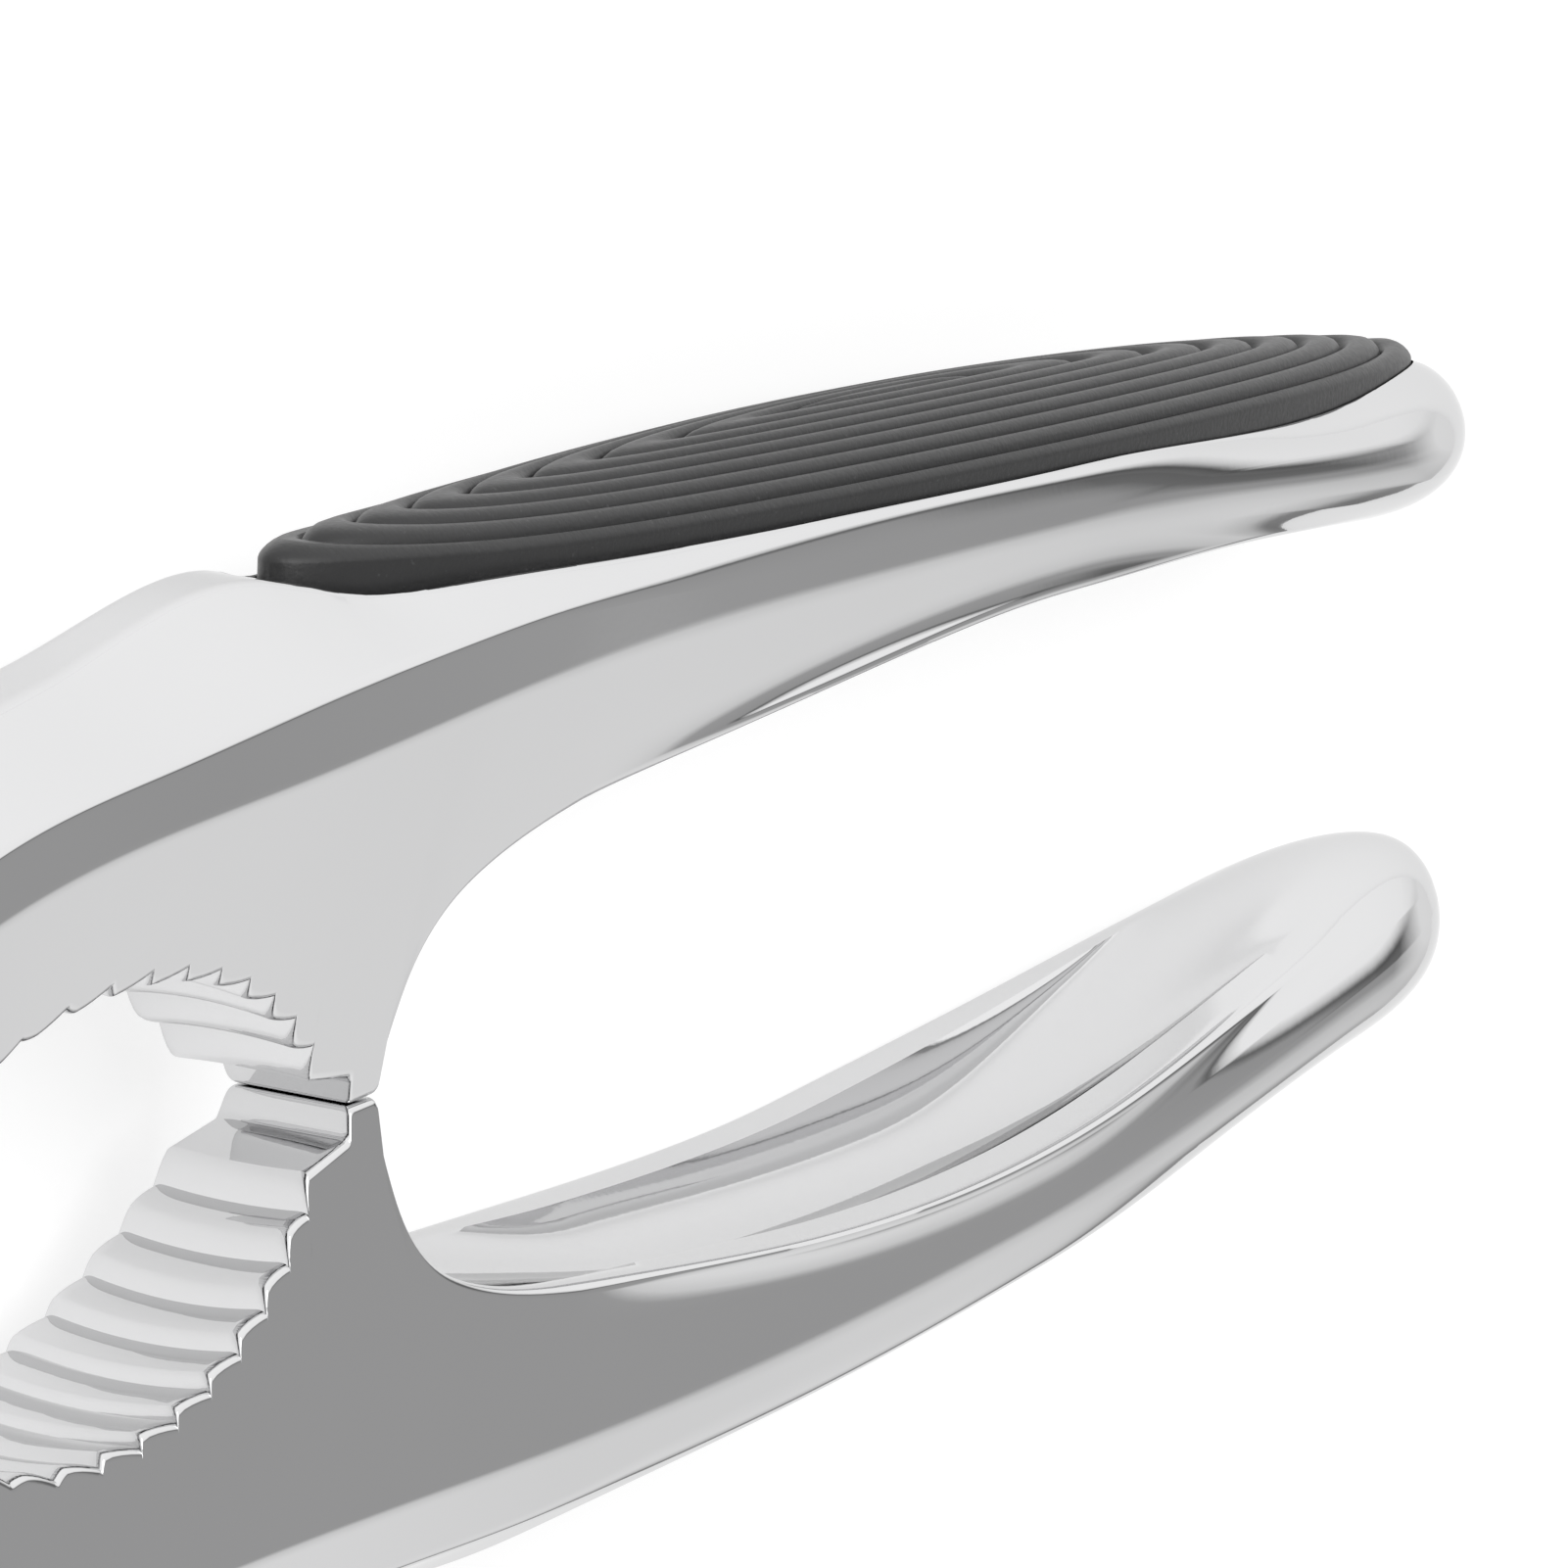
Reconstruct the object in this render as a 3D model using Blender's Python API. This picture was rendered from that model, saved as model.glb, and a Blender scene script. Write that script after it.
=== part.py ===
"""Lever nutcracker: two die-cast arms on one hinge pin, each with a rubber grip inlay.

It lies on its side: +X runs from the hinge to the handle ends, +Y is the side of the
upper arm, and +Z is the hinge axis. Lengths in the tables below are in millimetres,
measured from the point where the two beaks meet.
"""
import math

import bmesh
import bpy
from mathutils import Vector

MM = 0.001

# Overall
HINGE_X = -60.0
TIP_X = 116.8
HALF_THICKNESS = 8.5
BEAK_GAP = 0.3

# Hinge
KNUCKLE_RADIUS = 8.25
KNUCKLE_CLEARANCE = 0.3
TONGUE_HALF = 2.6
EAR_INNER = 3.4
PIN_RADIUS = 2.5
PIN_CLEARANCE = 0.05
PIN_RECESS = 0.2
WASHER_INNER_RADIUS = 2.9
WASHER_OUTER_RADIUS = 7.4
WASHER_HALF_GAP = 2.75
WASHER_THICKNESS = 0.5
OPENING_LIMIT_DEG = 60.0

# Nut cavity and teeth
CAVITY_CENTRE_X = -24.6
CAVITY_HALF_LENGTH = 21.6
CAVITY_HALF_HEIGHT = 10.75
TOOTH_PITCH = 3.2
TOOTH_DEPTH = 0.9
FIRST_CREST_X = -4.4
BEAK_WIDTH = 2.45
BEAK_HEIGHT = 1.5

# Arm section
WEB_TAPER = 0.2146
EDGE_RADIUS = 0.6
JAW_DISH = 0.6
HANDLE_DISH = 1.7
DISH_FADE_X = 85.0
ROUND_END = 9.6
ROUND_POWER = 2.4

# Curves along the arm, as (x, y) points of a smooth line
OUTER = [(-66, 6.0), (-60, 11.4), (-51, 17.4), (-37, 23.1), (-22, 24.9), (-7, 26.3), (0, 25.0),
         (8, 24.35), (16, 23.95), (30, 23.25), (45, 22.5), (60, 21.6), (75, 20.7), (90, 19.7),
         (105, 19.0), (TIP_X, 18.6)]
BAND = [(-66, 4.8), (-60, 9.6), (-51, 14.6), (-37, 19.6), (-22, 21.1), (0, 22.3), (15, 22.6),
        (30, 22.3), (45, 21.8), (60, 20.9), (75, 19.6), (90, 18.1), (105, 16.3), (TIP_X, 14.2)]
SPINE = [(-66, 4.0), (-60, 8.2), (-51, 12.4), (-37, 16.6), (-12, 18.5), (14, 19.5), (42, 19.3),
         (67, 18.15), (90, 16.6), (105, 15.0), (TIP_X, 13.0)]
CROTCH = [(BEAK_WIDTH, 0.15), (2.2, 1.6), (2.4, 3.4), (3.3, 6.3), (5.2, 8.6), (8.2, 10.2),
          (12.0, 11.3), (16, 12.0)]
INNER = [(12, 11.3), (16, 12.0), (22, 12.7), (30, 13.5), (38, 14.2), (47, 14.75), (57, 14.95),
         (68, 14.5), (82, 13.15), (96, 11.2), (108, 10.0), (TIP_X, 9.7)]
LOWER_INNER = [(12, 11.3), (16, 12.0), (22, 12.7), (30, 13.5), (38, 14.2), (47, 14.7), (57, 14.8),
               (68, 14.15), (82, 12.3), (96, 10.0), (108, 8.6), (TIP_X, 8.2)]

# Half widths along the arm, as (x, half width) points
OUTER_WIDTH = [(-66, 1.6), (-8, 1.7), (0, 3.0), (6, 4.9), (15, 6.4), (25, 7.2), (40, 7.95),
               (57, 8.15), (75, 7.9), (90, 7.0), (103, 5.6), (112, 4.2), (TIP_X, 3.6)]
BAND_WIDTH = [(-66, 6.9), (0, 6.9), (15, 7.35), (30, 7.9), (50, 8.25), (70, 8.2), (85, 7.7),
              (97, 6.9), (107, 5.7), (TIP_X, 4.4)]
SPINE_WIDTH = [(-66, 7.5), (10, 7.5), (30, 7.75), (45, 8.0), (62, 8.15), (77, 7.9), (90, 7.3),
               (102, 6.3), (112, 5.2), (TIP_X, 4.3)]
INNER_WIDTH = [(12, 5.75), (16, 6.0), (25, 7.0), (35, 8.0), (45, 8.45), (57, 8.5), (70, 8.45),
               (85, 7.8), (97, 7.0), (107, 6.0), (TIP_X, 4.6)]

# Grip inlay
GRIP_START = -3.2
GRIP_END = 113.6
GRIP_HALF_WIDTH = 7.4
GRIP_CROWN = 2.7
GRIP_DEPTH = 2.4
LOWER_GRIP_SINK = 1.0
POCKET_CLEARANCE = 0.25
POCKET_END_GAP = 3.1
GRIP_EDGE_TOP = [(-6, 27.0), (0, 26.5), (8, 25.7), (16, 25.05), (32, 24.1), (48, 23.2), (64, 22.2),
                 (80, 21.1), (96, 19.9), (115, 18.4)]
PEG_X = (20.0, 82.0)
PEG_RADIUS = 2.0
PEG_LENGTH = 1.2

CENTRE_X = (HINGE_X - KNUCKLE_RADIUS + TIP_X) / 2
SEGMENTS = 48


def clear_scene():
    for obj in list(bpy.data.objects):
        bpy.data.objects.remove(obj, do_unlink=True)


def smooth(points, x):
    """Height at x of a smooth line through the points (cubic, level with its neighbours)."""
    if x <= points[0][0]:
        return points[0][1]
    if x >= points[-1][0]:
        return points[-1][1]
    i = max(k for k in range(len(points) - 1) if points[k][0] <= x)
    span = points[i + 1][0] - points[i][0]
    t = (x - points[i][0]) / span
    m0 = slope_at(points, i) * span
    m1 = slope_at(points, i + 1) * span
    y0, y1 = points[i][1], points[i + 1][1]
    return (y0 * (2 * t**3 - 3 * t**2 + 1) + m0 * (t**3 - 2 * t**2 + t)
            + y1 * (3 * t**2 - 2 * t**3) + m1 * (t**3 - t**2))


def slope_at(points, i):
    a = points[max(i - 1, 0)]
    b = points[min(i + 1, len(points) - 1)]
    return (b[1] - a[1]) / (b[0] - a[0])


def crest_height(x):
    """Half height of the nut cavity at x, measured to the tooth crests."""
    u = min(1.0, abs(x - CAVITY_CENTRE_X) / CAVITY_HALF_LENGTH)
    return CAVITY_HALF_HEIGHT * (1 - u**2.2) ** 0.8


def crest_points():
    """Tooth crests at equal steps along the cavity wall, from the beak to the hinge."""
    crests = []
    x, y, run = FIRST_CREST_X, crest_height(FIRST_CREST_X), TOOTH_PITCH
    end = CAVITY_CENTRE_X - CAVITY_HALF_LENGTH + 1.0
    step = 0.02
    while x > end:
        if run >= TOOTH_PITCH:
            crests.append((x, y))
            run = 0.0
        run += math.hypot(step, crest_height(x - step) - y)
        x -= step
        y = crest_height(x)
    return crests


def root_after(crest, following):
    """Tooth root between two crests: a step near the beak, a shallow notch further in."""
    dx, dy = following[0] - crest[0], following[1] - crest[1]
    length = math.hypot(dx, dy)
    rise = dy / length
    if rise > 0:
        share = 0.08 + 0.85 * rise**2
        depth = TOOTH_DEPTH * (1 + 0.9 * rise**2)
    else:
        share = min(0.5, 0.08 - 1.3 * rise)
        depth = TOOTH_DEPTH * max(0.2, 1 + 1.4 * rise)
    return (crest[0] + dx * share + depth * rise, crest[1] + dy * share - depth * dx / length)


def jaw_profile():
    """Inner edge of the jaw from the hinge side of the cavity to the beak."""
    crests = crest_points()
    points = [(0.0, BEAK_GAP / 2), (-0.43, BEAK_HEIGHT)]
    for crest, following in zip(crests, crests[1:]):
        points.append(crest)
        points.append(root_after(crest, following))
    points.append(crests[-1])
    points.append((CAVITY_CENTRE_X - CAVITY_HALF_LENGTH - 0.6, BEAK_GAP / 2))
    return points[::-1]


def stations(handle):
    """Pairs of inner point and outer x, from the hinge to the handle's end."""
    pairs = []
    for x in (-57.0, -54.0, -50.5):
        pairs.append(((x, BEAK_GAP / 2), x - 1.5))
    for x, y in jaw_profile():
        pairs.append(((x, y), x * 1.03))
    for i, point in enumerate(CROTCH):
        pairs.append((point, 1.2 + (CROTCH[-1][0] - 1.2) * i / (len(CROTCH) - 1)))
    for x in (21, 26, 32, 39, 47, 55, 63, 71, 79, 87, 93, 98, 103):
        pairs.append(((x, smooth(handle, x)), x))
    return pairs


def inner_half_width(point):
    x, y = point
    if x > CROTCH[-1][0]:
        return smooth(INNER_WIDTH, x)
    return smooth(SPINE_WIDTH, x) - WEB_TAPER * (smooth(SPINE, x) - y)


def section(inner, outer_x):
    """Closed ring of (x, y, z) around the arm, from the outer face to the inner face."""
    outer = (outer_x, smooth(OUTER, outer_x))
    span = outer[1] - inner[1]

    def across(curve):
        share = (smooth(curve, outer_x) - inner[1]) / span
        x = inner[0] + (outer_x - inner[0]) * share
        return (x, smooth(curve, x))

    length = math.dist(inner, outer)
    into = ((outer[0] - inner[0]) / length, span / length)
    half = inner_half_width(inner)
    in_handle = min(1.0, max(0.0, (inner[0] - 6.0) / 30.0))
    near_end = min(1.0, max(0.0, (inner[0] - DISH_FADE_X) / (TIP_X - ROUND_END - DISH_FADE_X)))
    dish = (JAW_DISH + (HANDLE_DISH - JAW_DISH) * in_handle) * (1 - 0.85 * near_end**2)
    flat = half - EDGE_RADIUS
    side = [(outer, smooth(OUTER_WIDTH, outer_x)),
            (across(BAND), smooth(BAND_WIDTH, outer_x)),
            (across(SPINE), smooth(SPINE_WIDTH, outer_x)),
            (offset(inner, into, EDGE_RADIUS), half),
            (inner, flat)]
    for share in (0.66, 0.33):
        side.append((offset(inner, into, dish * (1 - share**2)), flat * share))
    ring = [(p[0], p[1], z) for p, z in side]
    middle = offset(inner, into, dish)
    ring.append((middle[0], middle[1], 0.0))
    ring += [(p[0], p[1], -z) for p, z in reversed(side)]
    return ring


def offset(point, direction, distance):
    return (point[0] + direction[0] * distance, point[1] + direction[1] * distance)


def arm_rings(handle):
    """Rings of an arm whose inner edge follows the handle line."""
    rings = [section(inner, outer_x) for inner, outer_x in stations(handle)]
    start = TIP_X - ROUND_END
    base = section((start, smooth(handle, start)), start)
    rings.append(base)
    middle = (smooth(handle, start) + smooth(OUTER, start)) / 2
    drop = -0.1
    for share in (0.25, 0.45, 0.62, 0.76, 0.87, 0.94, 0.98):
        along = ROUND_END * share
        size = (1 - share**ROUND_POWER) ** (1 / ROUND_POWER)
        rings.append([(start + along, middle + drop * along + (y - middle) * size, z * size)
                      for _, y, z in base])
    return rings


def new_object(name, bm, material=None):
    mesh = bpy.data.meshes.new(name)
    bm.to_mesh(mesh)
    bm.free()
    obj = bpy.data.objects.new(name, mesh)
    bpy.context.scene.collection.objects.link(obj)
    if material:
        mesh.materials.append(material)
        mesh.shade_smooth()
        mesh.set_sharp_from_angle(angle=math.radians(30))
    else:
        obj.hide_render = True
        obj.display_type = "WIRE"
    return obj


def place(x, y, z):
    """Design millimetres to metres with the origin under the middle of the nutcracker."""
    return ((x - CENTRE_X) * MM, y * MM, (z + HALF_THICKNESS) * MM)


def loft(rings, side):
    """Closed skin over a row of rings; side -1 mirrors it to the lower arm."""
    bm = bmesh.new()
    rows = [[bm.verts.new(place(x, side * y, z)) for x, y, z in ring] for ring in rings]
    count = len(rows[0])
    for row, following in zip(rows, rows[1:]):
        for i in range(count):
            j = (i + 1) % count
            bm.faces.new((row[i], following[i], following[j], row[j]))
    for row in (rows[0], rows[-1]):
        middle = sum((v.co for v in row), Vector()) / count
        hub = bm.verts.new(middle)
        for i in range(count):
            bm.faces.new((row[i], row[(i + 1) % count], hub))
    bmesh.ops.triangulate(bm, faces=bm.faces[:])
    bmesh.ops.recalc_face_normals(bm, faces=bm.faces[:])
    return bm


def disc(radius, z_low, z_high, x=HINGE_X, y=0.0, along_y=False):
    """Round solid about the hinge axis, or about a line parallel to Y."""
    bm = bmesh.new()
    bmesh.ops.create_cone(bm, cap_ends=True, segments=SEGMENTS, radius1=radius * MM,
                          radius2=radius * MM, depth=(z_high - z_low) * MM)
    if along_y:
        for v in bm.verts:
            v.co.y, v.co.z = -v.co.z, v.co.y
        centre = place(x, (z_low + z_high) / 2, 0.0)
    else:
        centre = place(x, y, (z_low + z_high) / 2)
    bmesh.ops.translate(bm, verts=bm.verts[:], vec=centre)
    return bm


def boolean(obj, operand, operation):
    mod = obj.modifiers.new(operand.name, "BOOLEAN")
    mod.object = operand
    mod.operation = operation
    mod.solver = "EXACT"


def grip_half_width(x, grow=0.0, early=0.0):
    """Half width of the leaf-shaped inlay; grow and early enlarge it for the pocket."""
    start, end = GRIP_START - early, GRIP_END + grow
    share = min(1.0, max(0.0, (x - start) / (end - start)))
    return (GRIP_HALF_WIDTH + grow) * math.sqrt(math.sin(math.pi * share))


def pocket_floor(x):
    return smooth(GRIP_EDGE_TOP, x) - GRIP_DEPTH


def grip_xs(start, end, steps=40):
    """Places along the inlay, closer together at its round ends."""
    middle, reach = (start + end) / 2, (end - start) / 2
    first = 0.1
    angles = [first + (math.pi - 2 * first) * k / steps for k in range(steps + 1)]
    return [middle - reach * math.cos(a) for a in angles]


def grip_rings(sink):
    """Rings of the inlay; sink lowers its top towards the pocket's floor."""
    rings = []
    for x in grip_xs(GRIP_START, GRIP_END):
        half = grip_half_width(x)
        edge = smooth(GRIP_EDGE_TOP, x) - sink
        crown = GRIP_CROWN * half / GRIP_HALF_WIDTH
        side = [(pocket_floor(x) + POCKET_CLEARANCE, half)]
        for share in (1.0, 0.93, 0.7, 0.36):
            side.append((edge + crown * (1 - share**2), half * share))
        ring = [(x, y, z) for y, z in side]
        ring.append((x, edge + crown, 0.0))
        ring += [(x, y, -z) for y, z in reversed(side)]
        rings.append(ring)
    return rings


def pocket_rings():
    rings = []
    start, end = GRIP_START - POCKET_END_GAP, GRIP_END + POCKET_CLEARANCE
    for x in grip_xs(start, end):
        half = grip_half_width(x, POCKET_CLEARANCE, POCKET_END_GAP)
        low = pocket_floor(x)
        high = low + 8.0
        rings.append([(x, low, half), (x, high, half), (x, high, -half), (x, low, -half)])
    return rings


def make_material(name, colour, metallic, roughness):
    mat = bpy.data.materials.new(name)
    mat.use_nodes = True
    shader = mat.node_tree.nodes["Principled BSDF"]
    shader.inputs["Base Color"].default_value = (*colour, 1.0)
    shader.inputs["Metallic"].default_value = metallic
    shader.inputs["Roughness"].default_value = roughness
    return mat


def chrome():
    return make_material("polished_chrome", (0.86, 0.86, 0.87), 1.0, 0.06)


def rubber():
    return make_material("grip_rubber", (0.045, 0.046, 0.05), 0.0, 0.6)


def pin_steel():
    return make_material("pin_steel", (0.62, 0.62, 0.63), 1.0, 0.25)


def nylon():
    return make_material("washer_nylon", (0.82, 0.81, 0.77), 0.0, 0.5)


def drill_pegs(arm, name, side):
    """Blind holes in the pocket floor for the inlay's two pegs."""
    for i, x in enumerate(PEG_X):
        floor = pocket_floor(x)
        ends = sorted((side * (floor - PEG_LENGTH - POCKET_CLEARANCE), side * (floor + 1.0)))
        hole = new_object(f"{name}_peg_hole_{i}",
                          disc(PEG_RADIUS + POCKET_CLEARANCE, *ends, x=x, along_y=True))
        boolean(arm, hole, "DIFFERENCE")


def make_arm(name, side, material):
    """One die-cast arm: body, clearance for the other knuckle, own knuckle, bore, pocket."""
    handle = INNER if side > 0 else LOWER_INNER
    arm = new_object(name, loft(arm_rings(handle), side), material)
    reach = HALF_THICKNESS + 1.0
    clear = new_object(f"{name}_clearance", disc(KNUCKLE_RADIUS + KNUCKLE_CLEARANCE, -reach, reach))
    boolean(arm, clear, "DIFFERENCE")
    if side > 0:
        knuckles = [(-TONGUE_HALF, TONGUE_HALF)]
    else:
        knuckles = [(EAR_INNER, HALF_THICKNESS), (-HALF_THICKNESS, -EAR_INNER)]
    for i, (low, high) in enumerate(knuckles):
        knuckle = new_object(f"{name}_knuckle_{i}", knuckle_solid(side, low, high))
        boolean(arm, knuckle, "UNION")
    bore = new_object(f"{name}_bore", disc(PIN_RADIUS + PIN_CLEARANCE, -reach, reach))
    boolean(arm, bore, "DIFFERENCE")
    pocket = new_object(f"{name}_pocket", loft(pocket_rings(), side))
    boolean(arm, pocket, "DIFFERENCE")
    drill_pegs(arm, name, side)
    return arm


def knuckle_solid(side, low, high):
    """Round knuckle with a neck that reaches into the arm's body."""
    neck_reach = KNUCKLE_RADIUS + 5.0
    start, end = math.radians(6), math.radians(88)
    outline = [(0.0, 0.0)]
    steps = 10
    for k in range(steps + 1):
        a = start + (end - start) * k / steps
        outline.append((neck_reach * math.cos(a), neck_reach * math.sin(a)))
    round_steps = 40
    for k in range(1, round_steps):
        a = end + (math.tau + start - end) * k / round_steps
        outline.append((KNUCKLE_RADIUS * math.cos(a), KNUCKLE_RADIUS * math.sin(a)))
    outline.pop(0)
    rings = [[(HINGE_X + x, y, z) for x, y in outline] for z in (low, high)]
    return loft(rings, side)


def make_grip(name, side, sink, material):
    grip = new_object(name, loft(grip_rings(sink), side), material)
    for i, x in enumerate(PEG_X):
        low = pocket_floor(x) + POCKET_CLEARANCE
        ends = sorted((side * (low - PEG_LENGTH), side * (low + 0.8)))
        peg = new_object(f"{name}_peg_{i}", disc(PEG_RADIUS, *ends, x=x, along_y=True))
        boolean(grip, peg, "UNION")


def make_pin(material):
    reach = HALF_THICKNESS - PIN_RECESS
    bm = disc(PIN_RADIUS, -reach, reach)
    rims = [e for e in bm.edges if abs(e.verts[0].co.z - e.verts[1].co.z) < 1e-6]
    bmesh.ops.bevel(bm, geom=rims, offset=0.4 * MM, segments=2, affect="EDGES", profile=0.5)
    new_object("hinge_pin", bm, material)


def make_washer(name, low, material):
    washer = new_object(name, disc(WASHER_OUTER_RADIUS, low, low + WASHER_THICKNESS), material)
    hole = new_object(f"{name}_hole", disc(WASHER_INNER_RADIUS, low - 1.0, low + 1.5))
    boolean(washer, hole, "DIFFERENCE")


def set_origin_on_hinge(obj):
    """Moves the object's origin to the hinge axis without moving its surface."""
    hinge = place(HINGE_X, 0.0, 0.0)
    for v in obj.data.vertices:
        v.co.x -= hinge[0]
        v.co.y -= hinge[1]
    obj.location = (hinge[0], hinge[1], 0.0)


def main():
    clear_scene()
    plating = chrome()
    inlay = rubber()
    upper = make_arm("upper_arm", 1, plating)
    make_arm("lower_arm", -1, plating)
    make_grip("upper_grip", 1, 0.0, inlay)
    make_grip("lower_grip", -1, LOWER_GRIP_SINK, inlay)
    make_pin(pin_steel())
    washer = nylon()
    make_washer("upper_washer", WASHER_HALF_GAP, washer)
    make_washer("lower_washer", -WASHER_HALF_GAP - WASHER_THICKNESS, washer)
    for obj in (upper, bpy.data.objects["upper_grip"]):
        set_origin_on_hinge(obj)


main()
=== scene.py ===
"""Looks of a lever nutcracker: two polished cast arms, ribbed rubber grips and the hinge.

Laid out as a Blender add-on: sizes and finishes are properties of the scene, every piece
has an operator, and the panel in the sidebar of the 3D view lists them.
"""
import math

import bmesh
import bpy
import numpy as np
from bpy.props import FloatProperty, FloatVectorProperty, IntProperty, PointerProperty
from mathutils import Matrix, Vector


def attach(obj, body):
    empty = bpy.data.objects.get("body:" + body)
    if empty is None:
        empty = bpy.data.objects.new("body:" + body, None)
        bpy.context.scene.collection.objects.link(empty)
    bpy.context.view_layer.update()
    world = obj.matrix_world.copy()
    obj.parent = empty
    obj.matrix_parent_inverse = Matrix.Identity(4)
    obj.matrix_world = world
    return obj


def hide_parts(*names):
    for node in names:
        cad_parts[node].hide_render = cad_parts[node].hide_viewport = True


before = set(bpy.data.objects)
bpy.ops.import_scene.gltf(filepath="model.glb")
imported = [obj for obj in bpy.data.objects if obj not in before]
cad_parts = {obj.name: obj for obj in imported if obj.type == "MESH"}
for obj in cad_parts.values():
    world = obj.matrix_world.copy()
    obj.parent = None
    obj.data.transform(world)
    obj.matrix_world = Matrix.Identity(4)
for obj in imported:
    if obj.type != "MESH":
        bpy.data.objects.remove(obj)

bl_info = {
    "name": "Lever Nutcracker",
    "version": (1, 0, 0),
    "blender": (4, 5, 0),
    "location": "View3D > Sidebar > Nutcracker",
    "description": "Builds the castings, grips, hinge and studio of a lever nutcracker",
    "category": "Add Mesh",
}

MM = 0.001

# Layout in millimetres from the point where the beaks meet
HINGE_X = -60.0
TIP_X = 116.8
HALF_THICKNESS = 8.5
BEAK_GAP = 0.08
KNUCKLE_RADIUS = 8.25
KNUCKLE_CLEARANCE = 0.3
KNUCKLE_ROUNDING = 0.5
TONGUE_HALF = 2.6
EAR_INNER = 3.4
PIN_RADIUS = 2.5
PIN_CLEARANCE = 0.05
PIN_RECESS = 0.2
WASHER_INNER_RADIUS = 2.9
WASHER_OUTER_RADIUS = 7.4
WASHER_HALF_GAP = 2.75
WASHER_THICKNESS = 0.5
CENTRE_X = (HINGE_X - KNUCKLE_RADIUS + TIP_X) / 2

# Nut cavity; a tooth's facts are its phase, root share, depth and direction
CAVITY_CENTRE_X = -24.6
CAVITY_HALF_LENGTH = 21.6
CAVITY_HALF_HEIGHT = 10.75
FIRST_CREST_X = -4.4
BEAK_WIDTH = 2.45
BEAK_HEIGHT = 1.5
TOOTH_FADE = 4.5
NO_TOOTH = (0.0, 0.5, 0.0, (0.0, 0.0))
FALLING_STOPS = (0.0, 0.2, 0.45, 0.7, 0.88, 1.0)
RISING_STOPS = (0.12, 0.3, 0.55, 0.8)

# Section of the arm
WEB_TAPER = 0.2146
JAW_DISH = 0.4
HANDLE_DISH = 2.3
HANDLE_STARTS = (8.0, 26.0)
SOFTENING = (58.0, 46.0)
ELLIPSE = (62.0, 42.0)
DISH_FADE_X = 85.0
DISH_SHARES = (0.96, 0.9, 0.8, 0.68, 0.54, 0.4, 0.26, 0.13, 0.0)
HINGE_END_X = (-57.0, -54.0, -51.5, -49.5)
HINGE_SPREAD = 1.03
JAW_OUTER_END = 0.75
HANDLE_OUTER_START = 0.9
HANDLE_STEP = 1.1
CORNER_STEPS = 6
ROUND_END = 17.0
ROUND_POWER = 3.6
PLAN_POWER = 2.3
END_SHARES = (0.0, 0.08, 0.16, 0.25, 0.34, 0.43, 0.52, 0.61, 0.69, 0.77, 0.84, 0.895, 0.935,
              0.963, 0.983, 0.994, 0.9985)

# Curves along the arm as (x, y) points
OUTER = [(-66, 6.0), (-60, 11.4), (-51, 17.4), (-37, 23.1), (-22, 25.0), (-7, 26.5), (0, 24.95),
         (8, 24.35), (16, 23.95), (30, 23.25), (45, 22.5), (60, 21.6), (75, 20.7), (90, 19.7),
         (105, 19.0), (TIP_X, 18.6)]
BAND = [(-66, 4.8), (-60, 9.6), (-51, 14.6), (-37, 19.6), (-22, 21.1), (0, 22.3), (15, 22.6),
        (30, 22.3), (45, 21.8), (60, 20.9), (75, 19.6), (90, 18.1), (105, 16.3), (TIP_X, 14.2)]
SPINE = [(-66, 4.0), (-60, 8.2), (-51, 12.4), (-37, 16.6), (-12, 18.5), (14, 19.5), (42, 19.3),
         (67, 18.15), (90, 16.6), (105, 15.0), (TIP_X, 13.0)]
CROTCH = [(BEAK_WIDTH, 0.15), (2.2, 1.6), (2.4, 3.4), (3.3, 6.3), (5.2, 8.6), (8.2, 10.2),
          (12.0, 11.3), (16, 12.0)]
INNER = [(22, 12.7), (30, 13.5), (38, 14.2), (47, 14.75), (57, 14.95),
         (68, 14.5), (82, 13.15), (96, 11.2), (108, 10.0), (TIP_X, 9.7)]
LOWER_INNER = [(22, 12.7), (30, 13.5), (38, 14.2), (47, 14.7), (57, 14.8),
               (68, 14.15), (82, 12.3), (96, 10.0), (108, 8.6), (TIP_X, 8.2)]
OUTER_WIDTH = [(-66, 1.6), (-30, 1.7), (-8, 1.7), (0, 2.9), (6, 4.6), (15, 5.9), (25, 6.7),
               (40, 7.4), (57, 7.55), (75, 7.3), (90, 6.7), (103, 5.7), (112, 4.8), (TIP_X, 4.4)]
BAND_WIDTH = [(-66, 6.9), (-30, 6.9), (0, 6.9), (15, 7.35), (30, 7.8), (50, 8.1), (70, 8.1),
              (85, 7.9), (97, 7.6), (107, 6.9), (TIP_X, 6.0)]
SPINE_WIDTH = [(-66, 7.5), (-44, 7.5), (-22, 7.5), (-5, 7.5), (10, 7.53), (30, 8.1), (45, 8.45),
               (62, 8.5), (77, 8.4), (90, 8.2), (102, 7.6), (112, 6.8), (TIP_X, 6.2)]
INNER_WIDTH = [(12, 5.75), (16, 6.0), (25, 7.0), (35, 8.0), (45, 8.45), (57, 8.5), (70, 8.45),
               (85, 8.3), (97, 8.0), (107, 7.2), (TIP_X, 6.2)]

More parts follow.
